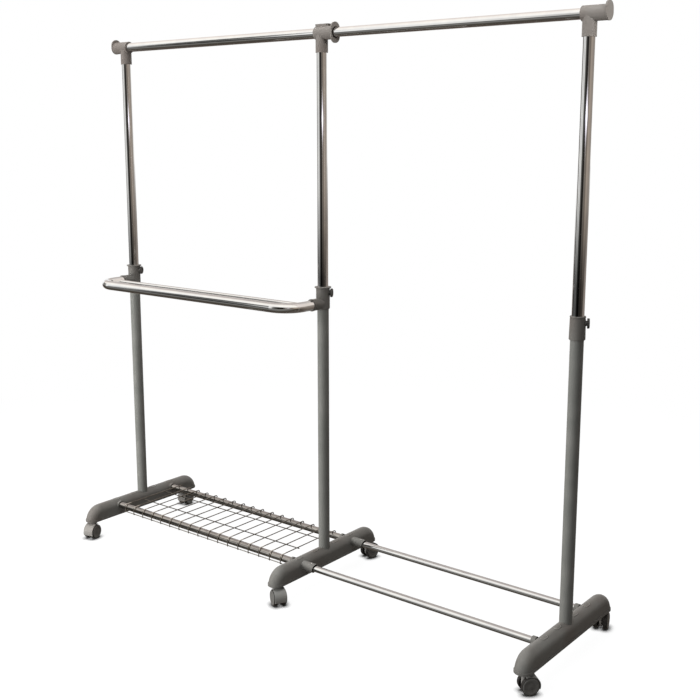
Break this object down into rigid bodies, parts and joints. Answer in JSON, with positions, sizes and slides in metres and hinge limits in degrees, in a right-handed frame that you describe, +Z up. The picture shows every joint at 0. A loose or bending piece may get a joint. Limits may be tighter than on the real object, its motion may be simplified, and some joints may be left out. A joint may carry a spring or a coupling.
{
  "type": "rolling clothes rack",
  "caption": "Rolling clothes rack: height-adjustable posts, side-extending top rail, lower U-shaped hanging bar, wire shelf over floor rods and domed feet on swivel casters",
  "frame": {"origin": "On the floor under the middle of the rack: centre of the bounding box in plan", "axes": "+X along the rails towards the end that pulls out, +Y from front to back, +Z up"},
  "size_m": [1.652, 0.484, 1.561],
  "materials": {
    "foot_plastic": "satin warm grey moulding",
    "grey_powder_coat": "smooth grey powder coat",
    "chrome_tube": "bright chrome plating",
    "collar_plastic": "satin dark warm grey moulding",
    "tee_plastic": "satin warm grey moulding",
    "plated_wire": "plated steel wire",
    "knob_plastic": "dark fluted moulding",
    "inner_plastic": "dark plastic",
    "zinc_bolt": "zinc plated",
    "black_stem": "black",
    "hood_plastic": "satin warm grey moulding",
    "wheel_plastic": "dark hard plastic",
    "axle_steel": "bright steel"
  },
  "bodies": {
    "base": {"left_foot": "foot_plastic", "mid_foot": "foot_plastic", "left_lower_tube": "grey_powder_coat", "mid_lower_tube": "grey_powder_coat", "left_collar": "collar_plastic", "mid_collar": "collar_plastic", "hanging_bar": "chrome_tube", "tie_rod": "chrome_tube", "front_shelf_tube": "chrome_tube", "back_shelf_tube": "chrome_tube", "post_bolts": "zinc_bolt", "post_plugs": "inner_plastic", "stem_lf": "black_stem", "stem_lb": "black_stem", "stem_mf": "black_stem", "stem_mb": "black_stem"},
    "upper_frame": {"left_upper_tube": "chrome_tube", "mid_upper_tube": "chrome_tube", "left_tee": "tee_plastic", "mid_tee": "tee_plastic", "left_rail": "chrome_tube"},
    "right_base": {"right_foot": "foot_plastic", "right_lower_tube": "grey_powder_coat", "right_collar": "collar_plastic", "front_rod": "chrome_tube", "back_rod": "chrome_tube", "right_post_plug": "inner_plastic", "right_post_bolt": "zinc_bolt", "stem_rf": "black_stem", "stem_rb": "black_stem"},
    "right_top": {"right_rail": "chrome_tube", "right_tee": "tee_plastic", "right_upper_tube": "chrome_tube"},
    "shelf": {"wire_shelf": "plated_wire"},
    "left_pad": {"left_pad": "inner_plastic"},
    "left_knob": {"left_knob": "knob_plastic"},
    "mid_pad": {"mid_pad": "inner_plastic"},
    "mid_knob": {"mid_knob": "knob_plastic"},
    "right_pad": {"right_pad": "inner_plastic"},
    "right_knob": {"right_knob": "knob_plastic"},
    "caster_lf": {"hood_lf": "hood_plastic"},
    "wheel_pair_lf": {"wheels_lf": "wheel_plastic", "axle_lf": "axle_steel"},
    "caster_lb": {"hood_lb": "hood_plastic"},
    "wheel_pair_lb": {"wheels_lb": "wheel_plastic", "axle_lb": "axle_steel"},
    "caster_mf": {"hood_mf": "hood_plastic"},
    "wheel_pair_mf": {"wheels_mf": "wheel_plastic", "axle_mf": "axle_steel"},
    "caster_mb": {"hood_mb": "hood_plastic"},
    "wheel_pair_mb": {"wheels_mb": "wheel_plastic", "axle_mb": "axle_steel"},
    "caster_rf": {"hood_rf": "hood_plastic"},
    "wheel_pair_rf": {"wheels_rf": "wheel_plastic", "axle_rf": "axle_steel"},
    "caster_rb": {"hood_rb": "hood_plastic"},
    "wheel_pair_rb": {"wheels_rb": "wheel_plastic", "axle_rb": "axle_steel"}
  },
  "joints": [
    {"name": "height_slide", "type": "slide", "parent": "base", "child": "upper_frame", "axis": [0, 0, 1], "range_m": [-0.59, 0.1]},
    {"name": "width_slide", "type": "slide", "parent": "base", "child": "right_base", "axis": [1, 0, 0], "range_m": [-0.64, 0.08]},
    {"name": "rail_slide", "type": "slide", "parent": "upper_frame", "child": "right_top", "axis": [1, 0, 0], "range_m": [-0.64, 0.08]},
    {"name": "shelf_lift", "type": "slide", "parent": "base", "child": "shelf", "axis": [0, 0, 1], "range_m": [0, 0.12]},
    {"name": "left_pad_slide", "type": "slide", "parent": "base", "child": "left_pad", "axis": [0.8829, 0.4695, 0], "range_m": [0, 0.001]},
    {"name": "left_knob_turn", "type": "hinge", "parent": "left_pad", "child": "left_knob", "pos_m": [-0.779, 0, 0.8415], "axis": [0.8829, 0.4695, 0], "range_deg": [0, 360]},
    {"name": "mid_pad_slide", "type": "slide", "parent": "base", "child": "mid_pad", "axis": [0.8829, 0.4695, 0], "range_m": [0, 0.001]},
    {"name": "mid_knob_turn", "type": "hinge", "parent": "mid_pad", "child": "mid_knob", "pos_m": [0.011, 0, 0.8415], "axis": [0.8829, 0.4695, 0], "range_deg": [0, 360]},
    {"name": "right_pad_slide", "type": "slide", "parent": "right_base", "child": "right_pad", "axis": [0.8829, 0.4695, 0], "range_m": [0, 0.001]},
    {"name": "right_knob_turn", "type": "hinge", "parent": "right_pad", "child": "right_knob", "pos_m": [0.779, 0, 0.8415], "axis": [0.8829, 0.4695, 0], "range_deg": [0, 360]},
    {"name": "swivel_lf", "type": "hinge", "parent": "base", "child": "caster_lf", "pos_m": [-0.779, -0.203, 0.05], "axis": [0, 0, 1], "continuous": true},
    {"name": "roll_lf", "type": "hinge", "parent": "caster_lf", "child": "wheel_pair_lf", "pos_m": [-0.77615, -0.21363, 0.022], "axis": [0.9659, 0.2588, 0], "continuous": true},
    {"name": "swivel_lb", "type": "hinge", "parent": "base", "child": "caster_lb", "pos_m": [-0.779, 0.203, 0.05], "axis": [0, 0, 1], "continuous": true},
    {"name": "roll_lb", "type": "hinge", "parent": "caster_lb", "child": "wheel_pair_lb", "pos_m": [-0.77766, 0.19208, 0.022], "axis": [0.9925, 0.1219, 0], "continuous": true},
    {"name": "swivel_mf", "type": "hinge", "parent": "base", "child": "caster_mf", "pos_m": [0.011, -0.203, 0.05], "axis": [0, 0, 1], "continuous": true},
    {"name": "roll_mf", "type": "hinge", "parent": "caster_mf", "child": "wheel_pair_mf", "pos_m": [0.02053, -0.2085, 0.022], "axis": [0.5, 0.866, 0], "continuous": true},
    {"name": "swivel_mb", "type": "hinge", "parent": "base", "child": "caster_mb", "pos_m": [0.011, 0.203, 0.05], "axis": [0, 0, 1], "continuous": true},
    {"name": "roll_mb", "type": "hinge", "parent": "caster_mb", "child": "wheel_pair_mb", "pos_m": [0.01347, 0.21372, 0.022], "axis": [-0.9744, 0.225, 0], "continuous": true},
    {"name": "swivel_rf", "type": "hinge", "parent": "right_base", "child": "caster_rf", "pos_m": [0.779, -0.203, 0.05], "axis": [0, 0, 1], "continuous": true},
    {"name": "roll_rf", "type": "hinge", "parent": "caster_rf", "child": "wheel_pair_rf", "pos_m": [0.78607, -0.19457, 0.022], "axis": [-0.766, 0.6428, 0], "continuous": true},
    {"name": "swivel_rb", "type": "hinge", "parent": "right_base", "child": "caster_rb", "pos_m": [0.779, 0.203, 0.05], "axis": [0, 0, 1], "continuous": true},
    {"name": "roll_rb", "type": "hinge", "parent": "caster_rb", "child": "wheel_pair_rb", "pos_m": [0.77615, 0.21363, 0.022], "axis": [-0.9659, -0.2588, 0], "continuous": true}
  ],
  "couplings": [
    {"joint": "rail_slide", "follows": "width_slide", "ratio": 1},
    {"joint": "left_knob_turn", "follows": "left_pad_slide", "rad_per_m": 6283.2},
    {"joint": "mid_knob_turn", "follows": "mid_pad_slide", "rad_per_m": 6283.2},
    {"joint": "right_knob_turn", "follows": "right_pad_slide", "rad_per_m": 6283.2}
  ]
}
